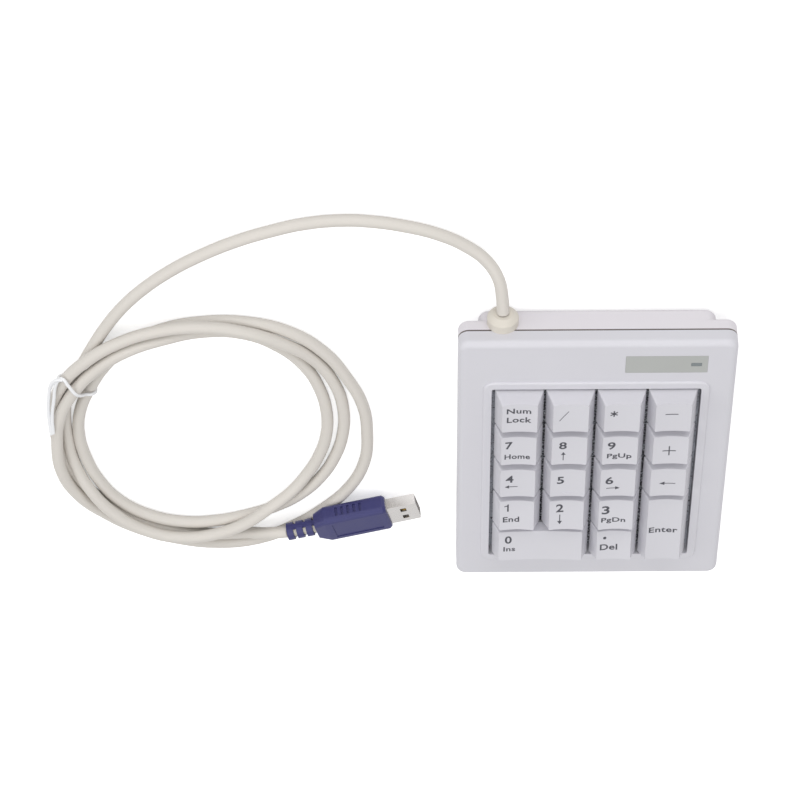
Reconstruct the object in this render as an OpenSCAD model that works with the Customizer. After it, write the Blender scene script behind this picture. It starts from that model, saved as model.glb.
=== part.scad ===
// Numeric keypad: rubber-dome keys in a two-part case that stands on feet,
// with a lead that is coiled, tied and ends in a flat plug.
// Part frame: +X to the user's right, +Y to the rear, +Z up, millimetres.

/* [Case] */
// Plain case to the left and right of the key field
side_margin = 13.4; // [11:0.1:20]
// Plain case in front of the key field
front_margin = 13.9; // [12:0.1:25]
// Plain case behind the key field, over the electronics
rear_margin = 24.2; // [24:0.1:40]
// Height of the top case, deck to parting line
top_h = 7.1; // [7:0.1:9]
// Height of the tray below the parting line
tray_h = 5.6; // [5:0.1:9]
// Wall and deck thickness of both mouldings
wall = 2; // [1.6:0.1:2.2]
// Floor thickness of the tray
floor_t = 1.8; // [1.4:0.1:2]
// Plan radius of the case corners
corner_r = 4; // [3.2:0.1:5]
// Roll-over radius of the top edge
edge_r = 2.4; // [1:0.1:3]
// Roll-over radius of the bottom edges
base_r = 1.4; // [0.6:0.1:2]
// Slope of the deck, rear side up
tilt = 2.4; // [2.2:0.1:3]

/* [Plinth and feet] */
// Width of the rear plinth
plinth_w = 88; // [80:0.5:89]
// Depth of the rear plinth
plinth_d = 26; // [24:0.5:34]
// Height of the rear plinth below the tray
plinth_h = 5.5; // [5.4:0.1:6.5]
// Length of a rubber foot
foot_l = 16; // [8:0.5:20]
// Width of a rubber foot
foot_w = 6; // [4:0.5:8]
// Height of the front edge of the tray above the table
front_lift = 0.9; // [0.7:0.1:1.6]
// Depth that a foot is let into the moulding
foot_recess = 0.6; // [0.3:0.1:0.9]

/* [Keys] */
// Key pitch, both ways
pitch = 19.05; // [18.5:0.05:20]
// Gap between neighbouring key skirts
skirt_gap = 0.95; // [0.7:0.05:1.4]
// Width of a one-unit key's top
cap_top_w = 13.1; // [11.5:0.1:14]
// Shell thickness of a keycap
cap_wall = 1.2; // [1:0.1:1.3]
// Depth of the cylindrical dish in a key's top
dish = 0.7; // [0.3:0.05:0.9]
// Travel of a key
travel = 3.5; // [2.5:0.1:3.6]
// Radius of a keycap's guide stem
stem_r = 2.75; // [2.4:0.05:2.9]
// Running clearance of the stem in its guide, on the radius
stem_play = 0.06; // [0.03:0.01:0.1]

/* [Key well] */
// Gap between the key field and the side edges of the well
well_gap_x = 0.9; // [0.5:0.1:1.4]
// Gap between the key field and the front and rear edges of the well
well_gap_y = 0.4; // [0.3:0.1:1]
// Width of the raised rim round the well
rim_w = 3.2; // [1.5:0.1:4]
// Height of the raised rim
rim_h = 0.8; // [0.3:0.1:1.2]

/* [Stack under the keys] */
// Clearance under a fully pressed skirt
press_room = 1.1; // [0.8:0.1:1.5]
// Thickness of the guide frame
frame_t = 1.5; // [1.2:0.1:1.6]
// Space between the guide frame and the dome sheet
dome_room = 1; // [0.8:0.1:1.2]
// Thickness of the dome sheet between the domes
sheet_t = 0.4; // [0.3:0.05:0.5]
// Height of a rubber dome
dome_h = 3.9; // [3.8:0.05:4]
// Thickness of one membrane layer
film_t = 0.2; // [0.1:0.05:0.25]
// Thickness of the steel backing plate
backing_t = 0.8; // [0.6:0.1:1]

/* [Indicator] */
// Width of the indicator plate
label_w = 30.4; // [26:0.1:34]
// Depth of the indicator plate
label_d = 9; // [7:0.1:11]
// Thickness of the indicator plate
label_t = 0.4; // [0.3:0.05:0.6]
// Width of the lamp window
window_w = 3.9; // [3.2:0.1:5]
// Depth of the lamp window
window_d = 1.7; // [1.2:0.1:3]

/* [Lead and plug] */
// Diameter of the lead
cord_d = 4.7; // [4:0.1:5]
// Radius of the gland's dome
gland_r = 5.8; // [5:0.1:6.2]
// Distance that the dome stands behind the case
gland_out = 5.3; // [4:0.1:7]
// Length of the plug's moulded body
plug_l = 29; // [24:0.5:36]
// Width of the plug's moulded body
plug_w = 16; // [14.5:0.5:18]
// Thickness of the plug's moulded body
plug_t = 8; // [7:0.5:9]
// Length of the plug's ribbed strain relief
relief_l = 11.6; // [9:0.1:14]
// Length of the metal shell outside the body
shell_out = 11.8; // [10:0.1:13]

/* [Hidden] */
e = 0.01;
cols = 4;
rows = 5;
case_w = cols * pitch + 2 * side_margin;
case_l = rows * pitch + front_margin + rear_margin;
slab = top_h + tray_h;
key_base = pitch - skirt_gap;

// Levels measured from the deck, downwards negative
frame_top = -(travel + press_room);
frame_low = frame_top - frame_t;
sheet_top = frame_low - dome_room;
sheet_low = sheet_top - sheet_t;
films_low = sheet_low - 3 * film_t;
backing_low = films_low - backing_t;
floor_top = -slab + floor_t;
dome_top = sheet_top + dome_h;
plinth_low = -slab - plinth_h;

// Well and what lies under it
well_w = cols * pitch + 2 * well_gap_x;
well_l = rows * pitch + 2 * well_gap_y;
well_y = front_margin - well_gap_y;
frame_lip = 3.2;
stack_w = well_w + 2 * frame_lip;
stack_l = well_l + 2 * frame_lip;
stack_y = well_y - frame_lip;
collar_t = 1.4;

// Guides, domes and their clearances
guide_r = 4.2;
guide_top = -0.3;
socket_r = 5.4;
dome_r = 3.9;
dome_tip_r = 2.2;
pocket_r = dome_r + 0.4;
pocket_top = dome_top + 0.5;
rib_w = 1;
rib_out = 0.6;
rib_play = 0.15;

// Stabiliser wires of the two-unit keys
wire_r = 0.6;
wire_play = 0.05;
wire_half = 11;
wire_y = 6.1;
wire_w = frame_top + 1.7;
arm_l = 9;
arm_deg = 17;
ear_x = 9.3;
ear_t = 1;
ear_play = 0.2;
tip_y = wire_y - arm_l * cos(arm_deg);
tip_w = wire_w + arm_l * sin(arm_deg);

// Screws: [x, y] of the case screws, then of the plate screws
screw_in_x = 4.5;
case_screw_r = 1.3;
case_screw_head_r = 2.5;
screw_boss_r = 3;
screw_play = 0.03;
plate_screw_r = 0.9;
plate_head_r = 1.7;
case_screw_xy = [for (s = [-1, 1], y = [7, case_l - 8]) [s * (case_w / 2 - screw_in_x), y]];
plate_screw_xy = [for (s = [-1, 1], k = [0, 2, 5])
    [s * (stack_w / 2 - 2), front_margin + k * pitch]];

// Electronics behind the key field
board_x = 9;
board_w = 66;
board_d = 14.6;
board_t = 1.6;
board_y = stack_y + stack_l + 0.8;
board_low = sheet_low;
board_top = board_low + board_t;
tail_w = 44;
tail_d = 6.5;
clamp_t = 1.1;
clamp_d = 4.4;
clamp_y = board_y + 1;
clamp_screw_x = [board_x - 24, board_x + 20];
led_x = 36.4;
led_y = front_margin + rows * pitch + 12.6;
led_r = 1.5;
label_x = 25.4;
label_y = front_margin + rows * pitch + 12.8;
window_play = 0.06;
chip_w = 9;
conn_w = 9;
conn_d = 4.6;
conn_h = 3.2;
conn_x = board_x - board_w / 2 + 6.5;
conn_y = board_y + board_d - 3.4;
wire_sheath_r = 0.42;

// Gland
gland_x = -35;
gland_w = -top_h - 3.7;
gland_neck_r = 3.4;
gland_flange_r = 4.4;
gland_flange_t = 1.6;
gland_play = 0.06;
cord_r = cord_d / 2;

// Standing position: origin under the middle of the keypad, table at z = 0
rest_z = front_lift;
rest_y = -(case_l * cos(tilt) + (plinth_h - slab) * sin(tilt)) / 2;

// Lead from the gland to the coil, then the short end from the coil to the plug
lead_turns = [[-37, 86.5, 6.2], [-41, 94, 4], [-48, 101.5, 2.6], [-58.5, 108, 2.35], [-72.5, 112.5, 2.35],
[-92.5, 113.5, 2.35], [-106.5, 111, 2.35], [-119.5, 107.5, 2.35], [-132, 102.5, 2.35],
    [-144, 95.5, 2.35], [-155.5, 87.5, 2.35], [-166, 78.5, 2.35], [-175.5, 68.5, 2.35],
    [-183, 58, 2.35], [-189, 48, 2.35], [-192, 41.5, 2.35]];
coil_x = -146;
coil_y = 2;
coil_in = 43.5;
coil_out = 64;
coil_low = 0.6;
coil_high = 9.6;
plug_at = [-117.7, -46.8, 8.3];
plug_turn = 13;
plug_dip = 3;
plug_roll = 14;
tie_angle = 150;

// Plug
shell_w = 12;
shell_t = 4.5;
shell_wall = 0.35;
shell_in = 8;
tongue_t = 1.9;
contact_w = 1.1;
relief_r = 3.5;

// Tops of the five rows, from the front: [height, rearward lean, set-back, depth of a one-unit top]
ROWS = [[6.2, 7, 1.5, 14.9], [6.8, 7, 1.4, 14.9], [6.8, 2.5, 1.2, 14.4], [7.2, 3, 1.2, 14.4],
    [7.8, 1.5, 1.1, 14.3]];
tall_key = [6.4, 2.8, 1.5, 14.5];

// [name, column centre, row centre, units wide, units deep, top]
KEYS = [
    ["key_num_lock", 0, 4, 1, 1, ROWS[4]], ["key_divide", 1, 4, 1, 1, ROWS[4]],
    ["key_multiply", 2, 4, 1, 1, ROWS[4]], ["key_minus", 3, 4, 1, 1, ROWS[4]],
    ["key_7", 0, 3, 1, 1, ROWS[3]], ["key_8", 1, 3, 1, 1, ROWS[3]],
    ["key_9", 2, 3, 1, 1, ROWS[3]], ["key_plus", 3, 3, 1, 1, ROWS[3]],
    ["key_4", 0, 2, 1, 1, ROWS[2]], ["key_5", 1, 2, 1, 1, ROWS[2]],
    ["key_6", 2, 2, 1, 1, ROWS[2]], ["key_backspace", 3, 2, 1, 1, ROWS[2]],
    ["key_1", 0, 1, 1, 1, ROWS[1]], ["key_2", 1, 1, 1, 1, ROWS[1]],
    ["key_3", 2, 1, 1, 1, ROWS[1]], ["key_enter", 3, 0.5, 1, 2, tall_key],
    ["key_0", 0.5, 0, 2, 1, ROWS[0]], ["key_decimal", 2, 0, 1, 1, ROWS[0]]
];

// ---- frames -------------------------------------------------------------

// Deck frame: x across, y from the front edge, z = 0 on the deck
module deck_frame() {
    translate([0, rest_y, rest_z]) rotate([tilt, 0, 0]) translate([0, 0, slab]) children();
}

function key_at(k) = [(k[1] - 1.5) * pitch, front_margin + (k[2] + 0.5) * pitch];

module at_key(k) {
    p = key_at(k);
    translate([p[0], p[1], 0]) children();
}

module at_plug() {
    translate(plug_at) rotate([plug_roll, plug_dip, plug_turn]) children();
}

// ---- shared shapes --------------------------------------------------------

// Rounded rectangle centred on x, starting at y = 0
module rrect(w, l, r) {
    translate([-w / 2 + r, 0]) square([w - 2 * r, l]);
    translate([-w / 2, r]) square([w, l - 2 * r]);
    for (x = [-w / 2 + r, w / 2 - r], y = [r, l - r]) translate([x, y]) circle(r, $fn = 48);
}

// Flat plate with round corners between two levels
module plate(w, l, r, low, high) {
    translate([0, 0, low]) linear_extrude(high - low) rrect(w, l, r);
}

// Corner post with a rolled top edge
module corner_post(r, roll, h) {
    rotate_extrude($fn = 32) {
        translate([0, -h]) square([r, h - roll]);
        translate([0, -h]) square([r - roll, h]);
        translate([r - roll, -roll]) intersection() {
            circle(roll, $fn = 32);
            square(roll);
        }
    }
}

// Block with round corners and a rolled top edge, top at z = 0
module rolled_block(w, l, r, roll, h) {
    hull() for (x = [-w / 2 + r, w / 2 - r], y = [r, l - r]) translate([x, y, 0])
        corner_post(r, min(roll, r - e), h);
}

// Straight round bar between two points
module rod(p, q, r) {
    d = q - p;
    translate(p) rotate([0, acos(d[2] / norm(d)), atan2(d[1], d[0])])
        cylinder(r = r, h = norm(d), $fn = 24);
}

// Smooth curve through hand-set points, n steps to a span
function spline(p, i, t) = let(
    a = p[max(i - 1, 0)], b = p[i], c = p[i + 1], d = p[min(i + 2, len(p) - 1)])
    0.5 * (2 * b + (c - a) * t + (2 * a - 5 * b + 4 * c - d) * t * t
        + (3 * b - a - 3 * c + d) * t * t * t);
function smooth(p, n) = concat([for (i = [0:len(p) - 2], k = [0:n - 1]) spline(p, i, k / n)],
    [p[len(p) - 1]]);
function unit(v) = v / norm(v);
function heading(p, i) = unit(p[min(i + 1, len(p) - 1)] - p[max(i - 1, 0)]);

// Round tube along a path: level side vector, so that it never twists
module swept_cord(p, r, sides) {
    rings = [for (i = [0:len(p) - 1]) let(
        t = heading(p, i), s = unit(cross(t, [0, 0, 1])), u = cross(s, t))
        for (k = [0:sides - 1]) p[i] + r * (cos(360 * k / sides) * s + sin(360 * k / sides) * u)];
    n = len(p);
    polyhedron(rings, concat(
        [[for (k = [0:sides - 1]) k]],
        [for (i = [0:n - 2], k = [0:sides - 1]) let(a = i * sides + k, b = i * sides + (k + 1) % sides)
            [a, a + sides, b + sides, b]],
        [[for (k = [sides - 1:-1:0]) (n - 1) * sides + k]]));
}

// ---- case -----------------------------------------------------------------

// Top moulding: deck, rolled edges, raised well rim, collar and screw bosses
module top_case() {
    color("#d2d4da") deck_frame() difference() {
        union() {
            difference() {
                rolled_block(case_w, case_l, corner_r, edge_r, top_h);
                translate([0, wall, 0])
                    plate(case_w - 2 * wall, case_l - 2 * wall, corner_r - wall, -top_h - 1, -wall);
            }
            well_rim();
            translate([0, well_y - collar_t, 0])
                plate(well_w + 2 * collar_t, well_l + 2 * collar_t, 2, frame_top, -wall + 0.2);
            for (p = case_screw_xy) translate([p[0], p[1], -top_h])
                cylinder(r = screw_boss_r, h = top_h - wall + 0.2, $fn = 40);
        }
        translate([0, well_y, 0]) plate(well_w, well_l, 1, frame_top - 1, rim_h + 1);
        translate([label_x, label_y - label_d / 2, 0]) plate(label_w, label_d, 0.3, -label_t, 1);
        translate([led_x, led_y - window_d / 2 - window_play, 0])
            plate(window_w + 2 * window_play, window_d + 2 * window_play, 0.2, -wall - 1, 1);
        for (p = case_screw_xy) translate([p[0], p[1], -top_h - 1])
            cylinder(r = case_screw_r + screw_play, h = 1 + top_h - wall - 0.4, $fn = 32);
    }
}

// Raised bead round the well, as a low rolled block
module well_rim() {
    translate([0, well_y - rim_w, rim_h])
        rolled_block(well_w + 2 * rim_w, well_l + 2 * rim_w, 1 + rim_w, rim_h - e, rim_h + 0.2);
}

// Tray: floor, walls, locating lip, ribs under the backing plate, plinth and bosses
module bottom_tray() {
    lip_t = 1;
    lip_play = 0.1;
    lip_h = 1.2;
    inner_w = case_w - 2 * wall;
    inner_l = case_l - 2 * wall;
    plinth_y = case_l - plinth_d;
    color("#d0cfd4") deck_frame() difference() {
        union() {
            difference() {
                union() {
                    mirror([0, 0, 1]) translate([0, 0, slab])
                        rolled_block(case_w, case_l, corner_r, base_r, tray_h);
                    mirror([0, 0, 1]) translate([0, plinth_y, slab + plinth_h])
                        rolled_block(plinth_w, plinth_d, corner_r, edge_r, plinth_h + 2);
                }
                translate([0, wall, 0]) plate(inner_w, inner_l, corner_r - wall, floor_top, 1);
                translate([0, plinth_y + wall, 0])
                    plate(plinth_w - 2 * wall, plinth_d - 2 * wall, corner_r - wall,
                        plinth_low + floor_t, 1);
            }
            tray_lip(inner_w - 2 * lip_play, inner_l - 2 * lip_play, lip_t, lip_h, wall + lip_play);
            tray_ribs(plinth_y);
            for (p = case_screw_xy) translate([p[0], p[1], -slab + 0.5])
                cylinder(r = screw_boss_r, h = tray_h - 0.5, $fn = 40);
        }
        for (p = case_screw_xy) translate([p[0], p[1], -slab - 1]) {
            cylinder(r = case_screw_r + 0.3, h = tray_h + 2, $fn = 32);
            cylinder(r = case_screw_head_r + 0.3, h = 1 + screw_sink(), $fn = 40);
        }
        for (x = clamp_screw_x) translate([x, clamp_y + clamp_d / 2, films_low - 4.5])
            cylinder(r = plate_screw_r + screw_play, h = 6, $fn = 32);
        gland_slot();
        foot_pockets();
    }
}

function screw_sink() = 2.2;

// Locating lip, cut away round the top case's bosses and the gland
module tray_lip(w, l, t, h, y) {
    difference() {
        translate([0, y, 0]) plate(w, l, corner_r - wall, -top_h - 1, -top_h + h);
        translate([0, y + t, 0]) plate(w - 2 * t, l - 2 * t, 1, -top_h - 2, -top_h + h + 1);
        for (p = case_screw_xy) translate([p[0], p[1], -top_h])
            cylinder(r = screw_boss_r + 0.25, h = h + 1, $fn = 40);
    }
}

// Long ribs that carry the backing plate, and the bar under the membrane's tail
module tray_ribs(plinth_y) {
    rib_t = 1.2;
    for (i = [-2:2]) translate([i * 16 - rib_t / 2, stack_y + 1, floor_top - 0.4])
        cube([rib_t, plinth_y - stack_y - 1, backing_low - floor_top + 0.4]);
    for (y = [stack_y + 1, plinth_y - rib_t]) translate([-36, y, floor_top - 0.4])
        cube([72, rib_t, backing_low - floor_top + 0.4]);
    translate([board_x - 27, board_y, plinth_low + floor_t - 0.4])
        cube([50, tail_d - 1, films_low - plinth_low - floor_t + 0.4]);
    for (x = [board_x - board_w / 2 + 3, board_x + board_w / 2 - 3])
        translate([x, board_y + board_d - 3, plinth_low + floor_t - 0.4])
        cylinder(r = 2, h = board_low - plinth_low - floor_t + 0.4, $fn = 32);
}

// Slot through the rear wall that takes the gland's neck
module gland_slot() {
    translate([gland_x, case_l + 1, gland_w]) rotate([90, 0, 0])
        cylinder(r = gland_neck_r + gland_play, h = wall + 2.5, $fn = 48);
    translate([gland_x - gland_neck_r - gland_play, case_l - wall - 1.5, gland_w])
        cube([2 * (gland_neck_r + gland_play), wall + 2.5, 10]);
}

// ---- feet -----------------------------------------------------------------

// [x, y, level of the moulding's underside]
foot_spots = [for (s = [-1, 1]) each [
    [s * (case_w / 2 - 15), 8, -slab],
    [s * (plinth_w / 2 - 14), case_l - plinth_d / 2, plinth_low]]];

module foot_pockets() {
    for (f = foot_spots) translate([f[0], f[1] - foot_w / 2, 0])
        plate(foot_l, foot_w, 1.5, f[2] - 1, f[2] + foot_recess);
}

// Four pads let into the underside, with soles that lie flat on the table
module rubber_feet() {
    play = 0.05;
    color("#55565a") intersection() {
        deck_frame() for (f = foot_spots) translate([f[0], f[1] - foot_w / 2 + play, 0])
            plate(foot_l - 2 * play, foot_w - 2 * play, 1.4, f[2] - 5, f[2] + foot_recess);
        translate([-case_w, -case_l, 0]) cube([2 * case_w, 2 * case_l, 30]);
    }
}

// ---- indicator --------------------------------------------------------------

module indicator_plate() {
    play = 0.05;
    color("#b2b7b6") deck_frame() difference() {
        translate([label_x, label_y - label_d / 2 + play, 0])
            plate(label_w - 2 * play, label_d - 2 * play, 0.3, -label_t, 0);
        translate([led_x, led_y - window_d / 2 - window_play, 0])
            plate(window_w + 2 * window_play, window_d + 2 * window_play, 0.2, -1, 1);
    }
}

// Ribbed light window that fills the slot in the plate and the deck
module lamp_window() {
    groove = 0.35;
    color("#7c8284") deck_frame() difference() {
        union() {
            translate([led_x, led_y - window_d / 2, 0])
                plate(window_w, window_d, 0.2, -wall - 0.3, 0);
            translate([led_x, led_y - window_d / 2 - 0.6, 0])
                plate(window_w + 1.2, window_d + 1.2, 0.2, -wall - 0.9, -wall - 0.05);
        }
        for (i = [-4:4]) translate([led_x + i * 0.42 - 0.1, led_y - window_d, -0.15])
            cube([groove / 2, 2 * window_d, 1]);
    }
}

module num_lock_lamp() {
    lamp_top = -wall - 1.1;
    color("#a8c79a") deck_frame() translate([led_x, led_y, board_top]) {
        cylinder(r = led_r + 0.4, h = 0.8, $fn = 40);
        cylinder(r = led_r, h = lamp_top - board_top - 0.6, $fn = 40);
        translate([0, 0, lamp_top - board_top - 0.6]) scale([1, 1, 1]) intersection() {
            sphere(r = led_r, $fn = 40);
            cylinder(r = led_r, h = 0.6, $fn = 40);
        }
    }
}

// ---- key guides and switch stack ----------------------------------------------

// Dark guide frame: plate, edge wall, one chimney to a key, hooks for the wires
module guide_frame() {
    color("#3b3d42") deck_frame() difference() {
        union() {
            difference() {
                translate([0, stack_y, 0]) plate(stack_w, stack_l, 1.5, sheet_top, frame_top);
                translate([0, stack_y + 4, 0])
                    plate(stack_w - 8, stack_l - 8, 1, sheet_top - 1, frame_low);
            }
            for (k = KEYS) at_key(k) {
                translate([0, 0, frame_low]) cylinder(r = socket_r, h = 0.5 + pocket_top - frame_low);
                translate([0, 0, pocket_top]) cylinder(r = guide_r, h = guide_top - pocket_top);
            }
            at_stabiliser("key_0") wire_hooks();
            at_stabiliser("key_enter") wire_hooks();
        }
        for (k = KEYS) at_key(k) guide_bore();
        at_stabiliser("key_0") hook_cuts();
        at_stabiliser("key_enter") hook_cuts();
        for (p = plate_screw_xy) translate([p[0], p[1], sheet_top - 1])
            cylinder(r = plate_screw_r + screw_play, h = 3, $fn = 24);
    }
}

module guide_bore() {
    translate([0, 0, sheet_top - 1]) cylinder(r = pocket_r, h = pocket_top - sheet_top + 1, $fn = 48);
    translate([0, 0, pocket_top - 1]) cylinder(r = stem_r + stem_play, h = 10, $fn = 48);
    translate([-rib_w / 2 - rib_play, -stem_r - rib_out - rib_play, pocket_top - 1])
        cube([rib_w + 2 * rib_play, 2 * (stem_r + rib_out + rib_play), 10]);
}

function key_named(n) = [for (k = KEYS) if (k[0] == n) k][0];

// Frame of a stabiliser: x along the key's long side
module at_stabiliser(n) {
    k = key_named(n);
    at_key(k) rotate([0, 0, k[4] > k[3] ? 90 : 0]) children();
}

module wire_hooks() {
    for (s = [-1, 1]) translate([s * 7.6 - 1, wire_y - 0.9, frame_top - 0.2])
        cube([2, 1.8, wire_w - frame_top + 1.05]);
}

module hook_cuts() {
    for (s = [-1, 1]) {
        translate([s * 7.6 - 2, wire_y, wire_w]) rotate([0, 90, 0])
            cylinder(r = wire_r + wire_play, h = 4, $fn = 32);
        translate([s * (ear_x + ear_t / 2) - ear_t / 2 - 0.3, tip_y - 2.9, frame_low - 1])
            cube([ear_t + 0.6, 5.4, frame_t + 2]);
    }
}

// Bent wire that keeps a two-unit key level
module stabiliser(n) {
    color("#b9bcc0") deck_frame() at_stabiliser(n) {
        end_x = wire_half + wire_r;
        rod([-end_x, wire_y, wire_w], [end_x, wire_y, wire_w], wire_r);
        for (s = [-1, 1]) {
            rod([s * wire_half, wire_y, wire_w], [s * wire_half, tip_y, tip_w], wire_r - 0.03);
            rod([s * end_x, tip_y, tip_w], [s * (ear_x - 0.8), tip_y, tip_w], wire_r);
        }
    }
}

// Rubber sheet with one hollow dome to a key
module dome_sheet() {
    skin = 0.55;
    color("#c9cdd2") deck_frame() {
        difference() {
            translate([0, stack_y, 0]) plate(stack_w, stack_l, 1.5, sheet_low, sheet_top);
            for (k = KEYS) at_key(k) translate([0, 0, sheet_low - 1]) cylinder(r = dome_r - skin / 2, h = 3);
            screw_holes(sheet_low);
        }
        for (k = KEYS) at_key(k) translate([0, 0, sheet_low]) rotate_extrude($fn = 48) polygon([
            [dome_r - skin, 0], [dome_r, 0], [dome_r, sheet_t + 0.5], [dome_tip_r + 0.5, sheet_t + 2.6],
            [dome_tip_r, sheet_t + 2.9], [dome_tip_r, sheet_t + dome_h], [0, sheet_t + dome_h],
            [0, sheet_t + 2.2], [dome_tip_r, sheet_t + 2.2], [dome_r - skin, sheet_t + 0.3]]);
    }
}

module screw_holes(low) {
    for (p = plate_screw_xy) translate([p[0], p[1], low - 1])
        cylinder(r = plate_screw_r + 0.2, h = 4, $fn = 24);
}

// One film of the switch membrane, with a tail that reaches under the board
module film(layer) {
    low = sheet_low - (layer + 1) * film_t;
    high = low + film_t;
    deck_frame() difference() {
        union() {
            translate([0, stack_y, 0]) plate(stack_w, stack_l, 1.5, low, high);
            translate([board_x - 2, stack_y + stack_l - 1, 0]) plate(tail_w, tail_d + 1, 1, low, high);
        }
        screw_holes(low);
        for (x = clamp_screw_x) translate([x, clamp_y + clamp_d / 2, low - 1])
            cylinder(r = plate_screw_r + 0.2, h = 3, $fn = 24);
        if (layer == 1) for (k = KEYS) at_key(k) translate([0, 0, low - 1])
            cylinder(r = 2.6, h = 3, $fn = 32);
    }
}

module membrane_top() { color("#9fb6a8") film(0); }
module membrane_spacer() { color("#c8d0cc") film(1); }
module membrane_bottom() { color("#8fa79b") film(2); }

module backing_plate() {
    color("#8e9196") deck_frame() difference() {
        translate([0, stack_y, 0]) plate(stack_w, stack_l, 1.5, backing_low, films_low);
        screw_holes(backing_low);
    }
}

// Pan-head screw pointing up, head below z = 0
module screw(r, head_r, head_h, l) {
    difference() {
        union() {
            translate([0, 0, -head_h]) cylinder(r = head_r, h = head_h, $fn = 32);
            cylinder(r = r, h = l - r, $fn = 24);
            translate([0, 0, l - r]) cylinder(r1 = r, r2 = 0.2 * r, h = r, $fn = 24);
        }
        for (a = [0, 90]) rotate([0, 0, a]) translate([-0.7 * head_r, -0.2 * r, -head_h - e])
            cube([1.4 * head_r, 0.4 * r, 0.5 * head_h]);
    }
}

module plate_screws() {
    color("#a9abae") deck_frame() for (p = plate_screw_xy) translate([p[0], p[1], backing_low])
        screw(plate_screw_r, plate_head_r, 1, sheet_top - backing_low + 1.8);
}

module case_screws() {
    color("#9c9ea1") deck_frame() for (p = case_screw_xy) translate([p[0], p[1], -slab + screw_sink()])
        screw(case_screw_r, case_screw_head_r, 1.6, slab - screw_sink() - wall - 0.8);
}

// ---- electronics ----------------------------------------------------------------

module control_board() {
    color("#2f6b45") deck_frame() difference() {
        translate([board_x, board_y, 0]) plate(board_w, board_d, 0.8, board_low, board_top);
        for (x = clamp_screw_x) translate([x, clamp_y + clamp_d / 2, board_low - 1])
            cylinder(r = plate_screw_r + 0.2, h = 4, $fn = 24);
    }
}

// Flat chip with a row of leads on two sides
module control_chip() {
    color("#222326") deck_frame() translate([board_x - 2, board_y + board_d - 5.6, board_top]) {
        translate([-chip_w / 2, -2.6, 0.1]) cube([chip_w, 5.2, 1.3]);
        for (i = [-4:4], s = [-1, 1]) translate([i * 0.95 - 0.2, s * 2.9 - 0.5, 0]) cube([0.4, 1, 0.5]);
    }
}

module tail_clamp() {
    clamp_w = 52;
    color("#b4b6b8") deck_frame() difference() {
        translate([board_x - 2, clamp_y, 0])
            plate(clamp_w, clamp_d, 1, board_top, board_top + clamp_t);
        for (x = clamp_screw_x) translate([x, clamp_y + clamp_d / 2, board_top - 1])
            cylinder(r = plate_screw_r + 0.2, h = 4, $fn = 24);
    }
}

module clamp_screws() {
    color("#a9abae") deck_frame() for (x = clamp_screw_x)
        translate([x, clamp_y + clamp_d / 2, board_top + clamp_t]) mirror([0, 0, 1])
        screw(plate_screw_r, plate_head_r, 0.9, board_t + clamp_t + 3 * film_t + 3.2);
}

module lead_connector() {
    color("#e6e2d6") deck_frame() translate([conn_x, conn_y, board_top]) difference() {
        translate([-conn_w / 2, -conn_d / 2, 0]) cube([conn_w, conn_d, conn_h]);
        translate([-conn_w / 2 + 1, -conn_d / 2 + 0.8, 1]) cube([conn_w - 2, conn_d - 1.6, conn_h]);
    }
}

// Sheath inside the gland and the four wires to the connector
module lead_core() {
    sheath_end = case_l - wall - 6;
    sheath_tip = case_l + gland_out - 0.3;
    color("#d8d4cd") deck_frame() {
        translate([gland_x, sheath_tip, gland_w]) rotate([90, 0, 0])
            cylinder(r = cord_r - 0.03, h = sheath_tip - sheath_end, $fn = 40);
        for (i = [0:3]) rod([gland_x, sheath_end + 0.6 + i * 1.05, gland_w],
            [conn_x - conn_w / 2 - 0.35, conn_y + (i - 1.5) * 1.05, board_top + conn_h / 2], wire_sheath_r);
    }
}

// Domed cord gland with a neck in the wall and a flange inside
module cable_gland() {
    end_r = 3.4;
    color("#e4dfd6") deck_frame() translate([gland_x, case_l, gland_w]) rotate([-90, 0, 0])
        rotate_extrude($fn = 64) difference() {
            union() {
                intersection() {
                    translate([0, gland_out - gland_r]) circle(gland_r + 1.1, $fn = 96);
                    square([gland_r, gland_out]);
                }
                translate([0, -wall]) square([gland_neck_r, wall + e]);
                translate([0, -wall - gland_flange_t]) square([gland_flange_r, gland_flange_t]);
            }
            translate([-1, -10]) square([1 + cord_r, 30]);
        }
}

// ---- keys -----------------------------------------------------------------------

// Thin rounded rectangle used as a section of a keycap
module cap_section(w, d, r) {
    translate([0, -d / 2, 0]) linear_extrude(e) rrect_coarse(w, d, r);
}

module rrect_coarse(w, l, r) {
    hull() for (x = [-w / 2 + r, w / 2 - r], y = [r, l - r]) translate([x, y]) circle(r, $fn = 20);
}

// Solid cap form, shrunk by t on every side
module cap_form(w, d, top, t) {
    drop = t > 0 ? dish + t : 0;
    share = (top[0] - drop) / top[0];
    top_w = w + (cap_top_w - key_base) * share - 2 * t;
    top_d = d + (top[3] - key_base) * share - 2 * t;
    hull() {
        translate([0, 0, t > 0 ? -e : 0]) cap_section(w - 2 * t, d - 2 * t, max(1.2 - t / 2, 0.4));
        translate([0, top[2] * share, top[0] - drop]) rotate([-top[1], 0, 0])
            cap_section(top_w, top_d, max(1.8 - t / 2, 0.6));
        if (t == 0) on_top(top, 0.35) cap_section(top_w - 0.9, top_d - 0.9, 1.4);
    }
}

// Middle of a key's leaning top, raised by so much
module on_top(top, up) {
    translate([0, top[2], top[0] + up]) rotate([-top[1], 0, 0]) children();
}

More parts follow.
